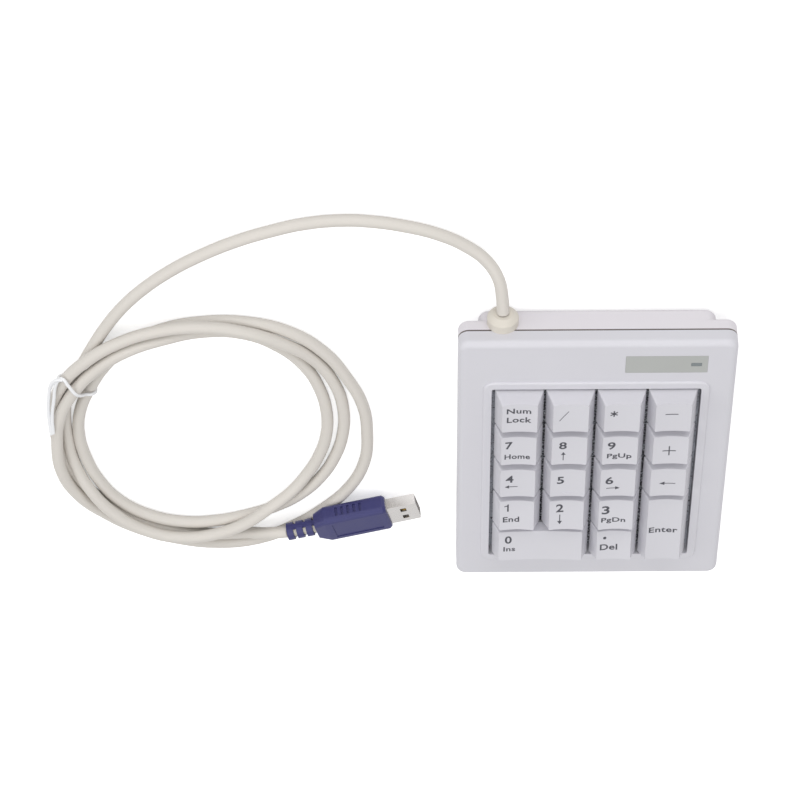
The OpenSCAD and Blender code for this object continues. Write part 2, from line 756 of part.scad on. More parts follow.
// Keycap: dished shell with a ribbed guide stem, and ears on the two-unit keys
module keycap(k) {
    w = k[3] * pitch - skirt_gap;
    d = k[4] * pitch - skirt_gap;
    top = k[5];
    top_w = cap_top_w + w - key_base;
    dish_r = (top_w * top_w / 4 + dish * dish) / (2 * dish);
    roof = top[0] + top[2] * sin(top[1]) - dish - cap_wall;
    color("#d9dade") deck_frame() at_key(k) union() {
        difference() {
            cap_form(w, d, top, 0);
            cap_form(w, d, top, cap_wall);
            on_top(top, dish_r - dish) translate([0, d, 0]) rotate([90, 0, 0])
                cylinder(r = dish_r, h = 2 * d, $fn = dish_r > 100 ? 720 : 180);
        }
        translate([0, 0, dome_top]) {
            cylinder(r = stem_r, h = roof - dome_top + 0.75, $fn = 48);
            translate([-rib_w / 2, -stem_r - rib_out, 0.4])
                cube([rib_w, 2 * (stem_r + rib_out), roof - dome_top - 0.2]);
        }
        if (k[3] > 1) ears(roof + 0.3, 0);
        if (k[4] > 1) rotate([0, 0, 90]) ears(roof, -sin(top[1]));
    }
}

// Slotted ears that ride on the stabiliser wire's tips, under a roof that may slope
module ears(roof, slope) {
    slot_l = arm_l * (1 - cos(arm_deg)) + 2 * (wire_r + ear_play);
    slot_h = 2 * (wire_r + ear_play);
    low = tip_w - wire_r - ear_play - 0.7;
    for (s = [-1, 1]) difference() {
        translate([s * (ear_x + ear_t / 2) - ear_t / 2, tip_y - 2.6, low])
            cube([ear_t, 4.8, roof + cap_wall / 2 + s * (ear_x + ear_t / 2) * slope - low]);
        translate([s * (ear_x + ear_t / 2) - 1, wire_y - arm_l - wire_r - ear_play, tip_w - slot_h / 2])
            cube([2, slot_l, slot_h]);
    }
}

// ---- lead, coil, tie and plug -----------------------------------------------------

// Point on the gland's axis, so far behind the case, in the part frame
function gland_axis(out) = let(y = case_l + out, w = gland_w + slab)
    [gland_x, rest_y + y * cos(tilt) - w * sin(tilt), rest_z + y * sin(tilt) + w * cos(tilt)];

module cord_lead() {
    route = concat([gland_axis(gland_out), gland_axis(gland_out + 9)], lead_turns);
    color("#dcd8d1") swept_cord(smooth(route, 2), cord_r, 10);
}

// Outer shape of the hank, cut clear where the plug lies on it
module cord_coil() {
    chamfer = 2;
    color("#d9d5ce") difference() {
        translate([coil_x, coil_y, 0]) rotate_extrude($fn = 96) polygon([
            [coil_in + chamfer, coil_low], [coil_out - chamfer, coil_low], [coil_out, coil_low + chamfer],
            [coil_out, coil_high - 2 * chamfer], [coil_out - 2 * chamfer, coil_high],
            [coil_in + chamfer, coil_high], [coil_in, coil_high - chamfer], [coil_in, coil_low + chamfer]]);
        at_plug() translate([-0.4, -plug_w / 2 - 1, -plug_t / 2 - 0.4])
            cube([relief_l + plug_l + 2, plug_w + 2, plug_t + 30]);
    }
}

module cord_tail() {
    start = [-133.5, -49.5, 6.6];
    lead_in = [cos(plug_turn) * cos(plug_dip), sin(plug_turn) * cos(plug_dip), -sin(plug_dip)];
    color("#dcd8d1") swept_cord([start, [-128.5, -49, 7.4], plug_at - 6 * lead_in, plug_at],
        cord_r, 10);
}

// Wire tie: band round the hank, a twisted knot and two loose ends
module twist_tie() {
    band = 0.45;
    gap = 0.05;
    band_w = 1.5;
    knot_l = 5;
    knot_end = coil_out + 0.3 + knot_l;
    knot_z = coil_high - 2.5;
    color("#eeeeee") translate([coil_x, coil_y, 0]) rotate([0, 0, tie_angle]) {
        translate([0, -band_w / 2, 0]) difference() {
            translate([coil_in - gap - band, 0, coil_low - gap - band])
                cube([coil_out - coil_in + 2 * (gap + band), band_w, coil_high - coil_low + 2 * (gap + band)]);
            translate([coil_in - gap, -1, coil_low - gap])
                cube([coil_out - coil_in + 2 * gap, band_w + 2, coil_high - coil_low + 2 * gap]);
        }
        translate([coil_out + 0.3, 0, knot_z]) rotate([0, 90, 0]) linear_extrude(knot_l, twist = 450, slices = 15)
            square([1.5, 0.8], center = true);
        rod([knot_end - 0.7, 0, knot_z], [knot_end - 3.6, 20, coil_high + 0.7], 0.45);
        rod([knot_end - 0.7, 0, knot_z - 0.1], [knot_end - 3, 17, coil_high - 1.5], 0.45);
    }
}

// Section of the plug's body: rounded rectangle across the axis
module plug_section(x, w, t) {
    r = min(2, t / 2 - 0.1);
    translate([x, 0, 0]) rotate([90, 0, 90]) translate([0, -t / 2, 0]) linear_extrude(e) hull()
        for (y = [-w / 2 + r, w / 2 - r], z = [r, t - r]) translate([y, z]) circle(r, $fn = 16);
}

// Moulded plug body with chamfered shoulders, finger grooves and a slotted relief
module plug_overmould() {
    shoulder = 4.5;
    grooves = 5;
    body_x = relief_l;
    color("#4a4a86") at_plug() difference() {
        union() {
            hull() {
                plug_section(body_x, plug_w - 5, plug_t - 1.4);
                plug_section(body_x + shoulder, plug_w, plug_t);
                plug_section(body_x + plug_l - 1, plug_w, plug_t);
                plug_section(body_x + plug_l, plug_w - 1.2, plug_t - 1.2);
            }
            for (i = [0:2]) translate([i * relief_l / 3, 0, 0]) rotate([0, 90, 0])
                cylinder(r = relief_r, h = relief_l / 3 - 1.3, $fn = 40);
            for (s = [-1, 1]) translate([0.4, s * (cord_r + 0.6) - 0.5, -1]) cube([relief_l + 1, 1, 2]);
        }
        for (i = [0:grooves - 1], s = [-1, 1])
            translate([body_x + plug_l / 2 + (i - 2) * 2.4, s * (plug_w / 2 + 0.3), 0])
            cube([1, 1.7, plug_t - 4.4], center = true);
        for (s = [-1, 1]) translate([body_x + shoulder + 2.5, -plug_w / 2 + 3.2, s * plug_t / 2 - 0.25])
            cube([plug_l - shoulder - 5.5, plug_w - 6.4, 0.5]);
        translate([-1, 0, 0]) rotate([0, 90, 0]) cylinder(r = cord_r, h = relief_l + 3, $fn = 48);
        translate([body_x + plug_l - shell_in, -shell_w / 2, -shell_t / 2])
            cube([shell_in + 1, shell_w, shell_t]);
    }
}

// Cord sheath inside the relief, seen through its slots
module plug_core() {
    color("#dcd8d1") at_plug() rotate([0, 90, 0])
        cylinder(r = cord_r - 0.02, h = relief_l + 2, $fn = 40);
}

// Drawn metal shell with two latch windows on each wide side
module plug_shell() {
    color("#b8babd") at_plug() translate([relief_l + plug_l - shell_in, 0, 0]) difference() {
        translate([0, -shell_w / 2, -shell_t / 2]) cube([shell_in + shell_out, shell_w, shell_t]);
        translate([shell_wall, -shell_w / 2 + shell_wall, -shell_t / 2 + shell_wall])
            cube([50, shell_w - 2 * shell_wall, shell_t - 2 * shell_wall]);
        for (s = [-1, 1]) translate([shell_in + 5.2, s * 2.6 - 1.2, -shell_t]) cube([2.4, 2.4, 2 * shell_t]);
    }
}

module plug_tongue() {
    color("#e9e9ea") at_plug() translate([relief_l + plug_l - shell_in + shell_wall, 0, 0]) {
        translate([0, -shell_w / 2 + shell_wall, -shell_t / 2 + shell_wall])
            cube([3, shell_w - 2 * shell_wall, shell_t - 2 * shell_wall]);
        translate([0, -shell_w / 2 + shell_wall + 0.05, -shell_t / 2 + shell_wall])
            cube([shell_in + shell_out - 1.2, shell_w - 2 * shell_wall - 0.1, tongue_t]);
    }
}

module plug_contacts() {
    contact_x = [-3.5, -1, 1, 3.5];
    color("#c9a24a") at_plug()
        for (y = contact_x) translate([relief_l + plug_l - shell_in + shell_wall + 3,
            y - contact_w / 2, -shell_t / 2 + shell_wall + tongue_t])
        cube([shell_in + shell_out - 6, contact_w, 0.15]);
}

// ---- nodes ------------------------------------------------------------------------

top_case();
bottom_tray();
indicator_plate();
lamp_window();
num_lock_lamp();
guide_frame();
dome_sheet();
membrane_top();
membrane_spacer();
membrane_bottom();
backing_plate();
plate_screws();
case_screws();
control_board();
control_chip();
lead_connector();
lead_core();
tail_clamp();
clamp_screws();
rubber_feet();
stabiliser("key_0");  // stabiliser_0
stabiliser("key_enter");  // stabiliser_enter
cable_gland();
cord_lead();
cord_coil();
cord_tail();
twist_tie();
plug_overmould();
plug_core();
plug_shell();
plug_tongue();
plug_contacts();
for (k = KEYS) keycap(k);
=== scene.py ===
import bpy
import bmesh
import math
from mathutils import Vector, Matrix


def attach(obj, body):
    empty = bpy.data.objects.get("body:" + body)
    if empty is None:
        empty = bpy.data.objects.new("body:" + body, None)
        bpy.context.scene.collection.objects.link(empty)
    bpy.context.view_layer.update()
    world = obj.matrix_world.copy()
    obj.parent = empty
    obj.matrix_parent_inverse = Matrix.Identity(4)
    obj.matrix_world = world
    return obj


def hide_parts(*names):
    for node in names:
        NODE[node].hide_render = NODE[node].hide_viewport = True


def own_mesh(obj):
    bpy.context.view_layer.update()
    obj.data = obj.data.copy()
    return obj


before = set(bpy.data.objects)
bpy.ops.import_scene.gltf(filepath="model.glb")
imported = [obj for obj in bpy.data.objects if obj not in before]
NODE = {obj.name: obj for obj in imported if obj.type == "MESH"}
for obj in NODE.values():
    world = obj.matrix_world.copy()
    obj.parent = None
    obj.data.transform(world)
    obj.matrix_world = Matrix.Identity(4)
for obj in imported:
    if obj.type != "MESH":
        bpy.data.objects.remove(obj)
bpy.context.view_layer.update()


def linked(name, data):
    """A new object in the scene."""
    obj = bpy.data.objects.new(name, data)
    bpy.context.scene.collection.objects.link(obj)
    return obj


def shaped(work, name):
    """A bmesh as a new mesh."""
    mesh = bpy.data.meshes.new(name)
    work.to_mesh(mesh)
    work.free()
    return mesh


# ---------------------------------------------------------------- camera
# Fitted to the key gaps, the well, the seam, the plate's corners and the case's edges.
lens = bpy.data.cameras.new("photo_camera")
lens.sensor_fit = "HORIZONTAL"
lens.sensor_width = 36
lens.lens = 147.2557
lens.clip_start, lens.clip_end = 0.05, 20
camera = linked("photo_camera", lens)
right = Vector((0.9999765, -0.0066535, 0.0016528))
up = Vector((0.0058526, 0.7029244, -0.7112405))
ahead = Vector((-0.0035705, -0.7112334, -0.7029469))
aimed = Matrix((right, up, -ahead)).transposed().to_4x4()
camera.matrix_world = Matrix.Translation((-0.068743, 0.904284, 0.875886)) @ aimed
bpy.context.scene.camera = camera
bpy.context.scene.view_settings.view_transform = "Standard"


# ---------------------------------------------------------------- lead
# Points along the lead's middle, in millimetres: the free run from
# the gland, then turns about one centre as (angle, radius, height), then the plug end.
CENTRE = (-146, 2)
FREE = [(-35, 72, 8.6), (-35.4, 79, 7.6), (-36.8, 86.4, 6.0), (-41.2, 93.6, 3.9), (-48.2, 99.4, 2.6),
        (-58.4, 105.3, 2.35), (-72, 109.8, 2.35), (-84, 112, 2.35), (-92.5, 112.5, 2.35),
        (-106.5, 111.1, 2.35), (-119.5, 107.4, 2.35), (-132, 102.6, 2.35), (-144, 96.4, 2.35),
        (-155.6, 88.9, 2.35), (-166.2, 80, 2.35), (-175.3, 70, 2.35), (-182.1, 60, 2.35),
        (-187.6, 50, 2.35), (-192.4, 40.4, 2.35)]
TURNS = [
    [(150, 59.6, 2.35), (165, 56.6, 2.35), (180, 55, 2.35), (195, 55, 3.4), (210, 55, 5.8),
     (225, 55.5, 7.05), (240, 56.2, 7.05), (255, 55, 7.05), (270, 51.2, 7.05), (285, 46.6, 7.05),
     (300, 42.7, 6.6), (315, 42.4, 4.5), (330, 42.4, 2.8), (345, 43, 2.35), (0, 44.4, 2.35),
     (15, 46.4, 2.35), (30, 49.1, 2.35), (45, 52.4, 2.35), (60, 55.2, 2.7), (75, 57, 3.2),
     (90, 56.4, 3.6), (105, 56.6, 5.8), (120, 57.4, 7.05), (135, 57.3, 7.05)],
    [(150, 57.5, 7.05), (165, 58.2, 7.05), (180, 58.6, 7.05), (195, 60, 7.0), (210, 60.9, 5.2),
     (225, 61.3, 2.8), (240, 61.1, 2.35), (255, 60.8, 2.35), (270, 61.3, 2.35), (285, 61.2, 2.35),
     (300, 60, 2.35), (315, 59.6, 2.35), (330, 60.5, 2.35), (345, 60.8, 2.35), (0, 60.1, 2.35),
     (15, 60.7, 2.35), (30, 61, 2.35), (45, 62.7, 2.35), (60, 63.3, 2.35), (75, 62, 2.35),
     (90, 60.2, 2.35), (105, 58.6, 2.35), (120, 56.4, 2.35), (135, 53.4, 2.35)],
    [(150, 51.4, 2.35), (165, 50.9, 2.35), (180, 50.4, 2.35), (195, 50.2, 2.35), (210, 51.1, 2.35),
     (225, 52.3, 2.35), (240, 52.1, 2.35), (255, 50.7, 2.35), (270, 48.5, 2.35), (285, 46.9, 2.35),
     (300, 46.7, 2.35), (315, 47.3, 2.35), (330, 48, 2.35), (345, 49, 2.35), (0, 50.7, 2.35),
     (15, 53, 2.35), (30, 55.5, 2.35), (45, 57.6, 2.9), (60, 59.4, 5.4), (75, 61.2, 7.05),
     (90, 61.9, 7.05), (105, 62.3, 7.05), (120, 62.6, 7.05), (135, 62.8, 7.05)],
    [(150, 62.6, 5.6), (165, 60.8, 3.2), (180, 59.2, 2.35), (195, 58.6, 2.35), (210, 57.4, 2.35),
     (225, 56.9, 2.35), (240, 56.7, 2.35), (255, 56.2, 2.35), (270, 56.2, 2.35)],
]
END = [(-139.3, -54, 2.35), (-133, -52.3, 3.6), (-127.9, -50.4, 5.6), (-123.2, -48.4, 7.4),
       (-117.7, -46.8, 8.3)]

way = list(FREE)
for turn in TURNS:
    for angle, radius, height in turn:
        a = math.radians(angle)
        way.append((CENTRE[0] + radius * math.cos(a), CENTRE[1] + radius * math.sin(a), height))
way += END


def tube(name, runs, radius, sides, steps):
    """A round wire along smooth runs of points given in millimetres: its mesh object, and its middle line."""
    curve = bpy.data.curves.new(name, "CURVE")
    curve.dimensions = "3D"
    curve.bevel_resolution = sides
    curve.resolution_u = steps
    curve.use_fill_caps = True
    for run in runs:
        spline = curve.splines.new("BEZIER")
        spline.bezier_points.add(len(run) - 1)
        for point, at in zip(spline.bezier_points, run):
            point.co = Vector(at) / 1000
            point.handle_left_type = point.handle_right_type = "AUTO"
    holder = linked(name + "_line", curve)
    meshes = []
    for depth in (0, radius):
        curve.bevel_depth = depth
        bpy.context.view_layer.update()
        graph = bpy.context.evaluated_depsgraph_get()
        meshes.append(bpy.data.meshes.new_from_object(holder.evaluated_get(graph)))
    bpy.data.objects.remove(holder)
    line, skin = meshes
    for face in skin.polygons:
        face.use_smooth = True
    obj = linked(name, skin)
    bpy.context.view_layer.update()
    return obj, [list(v.co) for v in line.vertices]


LEAD_R, TIE_R = 0.00235, 0.00068
lead, lead_middle = tube("lead", [way], LEAD_R, sides=5, steps=4)
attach(lead, "housing")
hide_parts("cord_lead", "cord_coil", "cord_tail")

# The wire tie: a turn over the strands, under them and back to the knot, and two tails.
KNOT = (-200.9, 38.2, 8.2)
TIE = [
    [KNOT, (-199.6, 39.3, 8.8), (-197.5, 36.8, 9.8), (-196.2, 34.6, 10.2), (-194.9, 32.2, 10),
     (-193.7, 29.9, 8.4), (-191.7, 28, 5.9), (-189, 27.5, 5), (-188.2, 27.3, 2.9), (-189.4, 28.2, 0.9),
     (-193, 30.4, 0.6), (-197, 33.4, 0.8), (-199.6, 35.2, 2.6), (-201.4, 36.8, 5.4), KNOT],
    [(-199.4, 39, 9.3), (-201.2, 38.9, 9), (-203, 37.6, 8.6), (-204.2, 35.4, 8.2), (-205, 32.6, 8)],
    [KNOT, (-203.6, 35.8, 8), (-205.7, 27.4, 8.2), (-206.2, 18.5, 9), (-205.9, 10.7, 10)],
    [KNOT, (-202.1, 36.1, 8.3), (-203.6, 27.8, 8.6), (-204.8, 20.5, 9.3), (-205.1, 11.3, 10.1)],
]
tie = tube("tie_wire", TIE, TIE_R, sides=3, steps=6)[0]
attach(tie, "housing")
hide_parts("twist_tie")


# ---------------------------------------------------------------- the deck's frame
# In millimetres: x from the middle, y from the front edge, z from the tray's base.
# part.scad has the same values.
PITCH, CASE_L, FRONT_MARGIN, SLAB, PLINTH_H, FRONT_LIFT = 19.05, 133.35, 13.9, 12.7, 5.5, 0.9
TILT = math.radians(2.4)
REST_Y = -(CASE_L * math.cos(TILT) - (SLAB - PLINTH_H) * math.sin(TILT)) / 2


def from_deck(x, y, z):
    """A point of the deck's frame, in the shared frame."""
    return Vector((x, REST_Y + y * math.cos(TILT) - z * math.sin(TILT),
                   FRONT_LIFT + y * math.sin(TILT) + z * math.cos(TILT))) / 1000


# ---------------------------------------------------------------- materials
FIRST, SECOND, MIXED = 6, 7, 2  # a colour mix node's own sockets: two colours in, one out


def tone(r, g, b):
    """Linear colour from the usual 0 to 255 values."""
    return tuple(((c / 255 + 0.055) / 1.055) ** 2.4 if c > 10 else c / 255 / 12.92
                 for c in (r, g, b)) + (1.0,)


def material(name, rgb, rough=0.5, metal=0.0, fine=1500, bump=0.05, vary=0.05, patch=45, coat=0.0,
             spread=0.08):
    """A procedural finish: two-scale grain in the bump, slow change of colour and roughness."""
    m = bpy.data.materials.new(name)
    m.use_nodes = True
    t = m.node_tree
    s = t.nodes["Principled BSDF"]
    place = t.nodes.new("ShaderNodeTexCoord")
    slow = t.nodes.new("ShaderNodeTexNoise")
    slow.inputs["Scale"].default_value = patch
    slow.inputs["Detail"].default_value = 5
    grain = t.nodes.new("ShaderNodeTexNoise")
    grain.inputs["Scale"].default_value = fine
    grain.inputs["Detail"].default_value = 3
    for n in (slow, grain):
        t.links.new(place.outputs["Object"], n.inputs["Vector"])
    mix = t.nodes.new("ShaderNodeMix")
    mix.data_type = "RGBA"
    base = tone(*rgb)
    mix.inputs[FIRST].default_value = tuple(c * (1 - vary) for c in base[:3]) + (1,)
    mix.inputs[SECOND].default_value = tuple(min(1, c * (1 + vary)) for c in base[:3]) + (1,)
    t.links.new(slow.outputs["Fac"], mix.inputs["Factor"])
    t.links.new(mix.outputs[MIXED], s.inputs["Base Color"])
    ramp = t.nodes.new("ShaderNodeMapRange")
    ramp.inputs["To Min"].default_value = max(0.02, rough - spread)
    ramp.inputs["To Max"].default_value = min(1, rough + spread)
    t.links.new(slow.outputs["Fac"], ramp.inputs["Value"])
    t.links.new(ramp.outputs["Result"], s.inputs["Roughness"])
    lift = t.nodes.new("ShaderNodeBump")
    lift.inputs["Strength"].default_value = bump
    lift.inputs["Distance"].default_value = 0.0002
    t.links.new(grain.outputs["Fac"], lift.inputs["Height"])
    t.links.new(lift.outputs["Normal"], s.inputs["Normal"])
    s.inputs["Metallic"].default_value = metal
    s.inputs["Coat Weight"].default_value = coat
    s.inputs["Coat Roughness"].default_value = 0.25
    return m


def specks(m, rgb, scale, edge, amount=1.0, beyond=0.0):
    """Pale flecks over a finish, everywhere or only more than beyond metres off the middle plane."""
    t = m.node_tree
    s = t.nodes["Principled BSDF"]
    place = t.nodes.new("ShaderNodeTexCoord")
    cell = t.nodes.new("ShaderNodeTexNoise")
    cell.inputs["Scale"].default_value = scale
    cell.inputs["Detail"].default_value = 8
    cell.inputs["Roughness"].default_value = 0.75
    t.links.new(place.outputs["Object"], cell.inputs["Vector"])
    cut = t.nodes.new("ShaderNodeMapRange")
    cut.inputs["From Min"].default_value = edge
    cut.inputs["From Max"].default_value = edge + 0.06
    cut.inputs["To Max"].default_value = amount
    t.links.new(cell.outputs["Fac"], cut.inputs["Value"])
    mix = t.nodes.new("ShaderNodeMix")
    mix.data_type = "RGBA"
    mix.inputs[SECOND].default_value = tone(*rgb)
    share = cut.outputs["Result"]
    if beyond:
        apart = t.nodes.new("ShaderNodeSeparateXYZ")
        t.links.new(place.outputs["Object"], apart.inputs[0])
        wide = t.nodes.new("ShaderNodeMath")
        wide.operation = "ABSOLUTE"
        t.links.new(apart.outputs["X"], wide.inputs[0])
        side = t.nodes.new("ShaderNodeMath")
        side.operation = "GREATER_THAN"
        side.inputs[1].default_value = beyond
        t.links.new(wide.outputs[0], side.inputs[0])
        both = t.nodes.new("ShaderNodeMath")
        both.operation = "MULTIPLY"
        t.links.new(side.outputs[0], both.inputs[0])
        t.links.new(share, both.inputs[1])
        share = both.outputs[0]
    old = s.inputs["Base Color"].links[0].from_socket
    t.links.new(old, mix.inputs[FIRST])
    t.links.new(share, mix.inputs["Factor"])
    t.links.new(mix.outputs[MIXED], s.inputs["Base Color"])
    return m


def seam_shade(m, low, high, rgb):
    """A painted shade line where the two halves of the case meet: the shade that falls in the gap between
    them, painted between two heights in the deck's frame.
    """
    t = m.node_tree
    s = t.nodes["Principled BSDF"]
    place = t.nodes.new("ShaderNodeTexCoord")
    up = t.nodes.new("ShaderNodeVectorMath")
    up.operation = "DOT_PRODUCT"
    up.inputs[1].default_value = (0, -math.sin(TILT) * 1000, math.cos(TILT) * 1000)
    t.links.new(place.outputs["Object"], up.inputs[0])
    level = t.nodes.new("ShaderNodeMath")
    level.operation = "SUBTRACT"
    level.inputs[1].default_value = FRONT_LIFT * math.cos(TILT) - REST_Y * math.sin(TILT)
    t.links.new(up.outputs["Value"], level.inputs[0])
    # The band between low and high takes the painted shade colour rgb: shade of the gap at the seam, not a
    # colour of the plastic.
    shade_band = t.nodes.new("ShaderNodeMath")
    shade_band.operation = "COMPARE"
    shade_band.inputs[1].default_value = (low + high) / 2
    shade_band.inputs[2].default_value = (high - low) / 2
    t.links.new(level.outputs[0], shade_band.inputs[0])
    mix = t.nodes.new("ShaderNodeMix")
    mix.data_type = "RGBA"
    mix.inputs[SECOND].default_value = tone(*rgb)
    t.links.new(s.inputs["Base Color"].links[0].from_socket, mix.inputs[FIRST])
    t.links.new(shade_band.outputs[0], mix.inputs["Factor"])
    t.links.new(mix.outputs[MIXED], s.inputs["Base Color"])
    return m


WELL_STRIP = 0.0372  # the strips beside the outer key columns start here, off the middle plane
FINISH = {
    # Case and tray: their plastic colours, each with a painted shade band along the seam for the shade in the
    # gap between the halves.
    "case": seam_shade(material("case_plastic", (214, 213, 219), 0.48, bump=0.07, vary=0.02),
                 5.5, 6.05, (84, 76, 74)),
    "tray": seam_shade(material("tray_plastic", (226, 222, 227), 0.5, bump=0.07, vary=0.02),
                 5.35, 5.7, (112, 102, 98)),
    "key": material("key_plastic", (213, 212, 218), 0.42, bump=0.05, vary=0.02, fine=1900),
    "label": material("label_film", (178, 180, 177), 0.4, bump=0.03, vary=0.04, fine=2600),
    "window": material("lamp_window", (132, 140, 142), 0.2, bump=0.05, vary=0.06, coat=0.5),
    "lamp": material("lamp_lens", (160, 204, 150), 0.2, bump=0.02, vary=0.06, coat=0.5),
    "dark": specks(specks(material("guide_plastic", (80, 82, 90), 0.4, bump=0.3, vary=0.2, fine=900),
                          (222, 226, 236), 1300, 0.5), (214, 218, 228), 700, 0.4, 0.85, WELL_STRIP),
    "dome": material("dome_silicone", (200, 206, 210), 0.55, bump=0.1, vary=0.05),
    "film": material("membrane_film", (165, 188, 172), 0.3, bump=0.02, vary=0.06),
    "steel": material("plate_steel", (170, 172, 176), 0.35, 1.0, fine=700, bump=0.1, vary=0.06),
    "screw": material("screw_steel", (168, 168, 172), 0.3, 1.0, fine=900, bump=0.1, vary=0.1),
    "board": material("board_mask", (36, 104, 62), 0.3, fine=600, bump=0.08, vary=0.15, coat=0.4),
    "chip": material("chip_epoxy", (28, 28, 31), 0.55, bump=0.2, vary=0.15),
    "connector": material("connector_nylon", (226, 221, 205), 0.45, bump=0.08, vary=0.04),
    "sheath": material("inner_sheath", (220, 214, 203), 0.5, bump=0.08, vary=0.04),
    "feet": material("feet_rubber", (72, 72, 77), 0.85, bump=0.4, vary=0.15),
    "gland": material("gland_pvc", (217, 211, 200), 0.5, bump=0.08, vary=0.02),
    "cord": material("cord_pvc", (215, 210, 203), 0.5, bump=0.08, vary=0.035, patch=18),
    "tie": material("tie_pvc", (240, 241, 243), 0.25, bump=0.05, vary=0.03, coat=0.3),
    "plug": material("plug_pvc", (50, 50, 104), 0.46, bump=0.12, vary=0.08, fine=1400, patch=90),
    "shell": material("shell_metal", (206, 203, 201), 0.27, 1.0, fine=420, bump=0.06, vary=0.06, patch=120),
    "tongue": material("tongue_nylon", (236, 236, 236), 0.45, bump=0.05, vary=0.03),
    "gold": material("contact_gold", (214, 176, 92), 0.25, 1.0, bump=0.05, vary=0.08),
    "ink": material("legend_ink", (72, 72, 80), 0.5, bump=0.06, vary=0.15, fine=2600, patch=400),
}
WEAR = {
    "top_case": "case", "bottom_tray": "tray", "indicator_plate": "label", "lamp_window": "window",
    "num_lock_lamp": "lamp", "guide_frame": "dark", "dome_sheet": "dome", "membrane_top": "film",
    "membrane_spacer": "film", "membrane_bottom": "film", "backing_plate": "steel", "plate_screws": "screw",
    "case_screws": "screw", "control_board": "board", "control_chip": "chip", "lead_connector": "connector",
    "lead_core": "sheath", "tail_clamp": "case", "clamp_screws": "screw", "rubber_feet": "feet",
    "cable_gland": "gland", "cord_lead": "cord", "cord_coil": "cord", "cord_tail": "cord", "twist_tie": "tie",
    "plug_overmould": "plug", "plug_core": "connector", "plug_shell": "shell", "plug_tongue": "tongue",
    "plug_contacts": "gold", "stabiliser_0": "screw", "stabiliser_enter": "screw",
}
for name, obj in NODE.items():
    obj.data.materials.clear()
    obj.data.materials.append(FINISH[WEAR.get(name, "key")])
lead.data.materials.append(FINISH["cord"])
tie.data.materials.append(FINISH["tie"])


def soften(obj, width, segments=3, angle=30):
    """Rounds a moulded piece's sharp edges."""
    for p in obj.data.polygons:
        p.use_smooth = True
    round_ = obj.modifiers.new("round", "BEVEL")
    round_.width = width
    round_.segments = segments
    round_.limit_method = "ANGLE"
    round_.angle_limit = math.radians(angle)
    round_.use_clamp_overlap = True
    even = obj.modifiers.new("even", "WEIGHTED_NORMAL")
    even.weight = 80
    even.keep_sharp = True


# ---------------------------------------------------------------- legends
# A key is (column, row, form, top width), and a form is (height, lean in degrees, set-back), in millimetres.
ROW = [(6.2, 7, 1.5), (6.8, 7, 1.4), (6.8, 2.5, 1.2), (7.2, 3, 1.2), (7.8, 1.5, 1.1)]
TALL = (6.4, 2.8, 1.5)
TOP_W, DISH = 13.1, 0.7
PRINT_LIFT = 0.075  # the printed marks lie this far over the CAD cap, just clear of its outer face


def dish(key, x):
    """The height of a key's dished top at x from its middle, below 0."""
    half = key[3] / 2
    radius = (half * half + DISH * DISH) / (2 * DISH)
    return -DISH + radius - math.sqrt(radius * radius - min(abs(x), half) ** 2)


def cap_place(key, x, y, z, leaning):
    """A key's own point in the shared frame: from its middle at the deck, or leaning with its top."""
    column, row, (height, lean, back), _ = key
    if leaning:
        lean = math.radians(lean)
        y, z = (back + y * math.cos(lean) + z * math.sin(lean),
                height - y * math.sin(lean) + z * math.cos(lean))
    return from_deck((column - 1.5) * PITCH + x, FRONT_MARGIN + (row + 0.5) * PITCH + y, z + SLAB)


def stations(width, depth, corner, middle=14, arc=4):
    """Points across a rounded rectangle: (x, half its depth there)."""
    out = []
    for k in range(arc + 1):
        a = math.pi / 2 * k / arc
        out.append((-width / 2 + corner - corner * math.cos(a), depth / 2 - corner + corner * math.sin(a)))
    inner = width / 2 - corner
    for k in range(1, middle):
        out.append((-inner + 2 * inner * k / middle, depth / 2))
    return out + [(-x, y) for x, y in reversed(out[:arc + 1])]


def shell(node, key, width, depth, top_depth, wall=0.0006):
    """The moulded outer face of a keycap: crisp corners, dished top, 0.04 to 0.05 mm over the CAD cap."""
    low = stations(width + 0.08, depth + 0.08, 0.5)
    high = stations(key[3] + 0.1, top_depth + 0.1, 0.55)
    n = len(low)
    verts = [cap_place(key, x, y, 0.02, False) for x, y in low]
    verts += [cap_place(key, x, -y, 0.02, False) for x, y in reversed(low)]
    verts += [cap_place(key, x, y, dish(key, x) + 0.05, True) for x, y in high]
    verts += [cap_place(key, x, -y, dish(key, x) + 0.05, True) for x, y in reversed(high)]
    faces = [(i, (i + 1) % (2 * n), 2 * n + (i + 1) % (2 * n), 2 * n + i) for i in range(2 * n)]
    faces += [(2 * n + i, 2 * n + i + 1, 4 * n - 2 - i, 4 * n - 1 - i) for i in range(n - 1)]
    mesh = bpy.data.meshes.new("cap_" + node[4:])
    mesh.from_pydata(verts, [], faces)
    work = bmesh.new()
    work.from_mesh(mesh)
    bmesh.ops.recalc_face_normals(work, faces=work.faces[:])
    if sum(f.normal.z for f in work.faces) < 0:
        bmesh.ops.reverse_faces(work, faces=work.faces[:])
    work.to_mesh(mesh)
    work.free()
    mesh.materials.append(FINISH["key"])
    obj = linked("cap_" + node[4:], mesh)
    thick = obj.modifiers.new("wall", "SOLIDIFY")
    thick.thickness = wall
    thick.offset = -1
    soften(obj, 0.00032)
    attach(obj, node)
    return obj


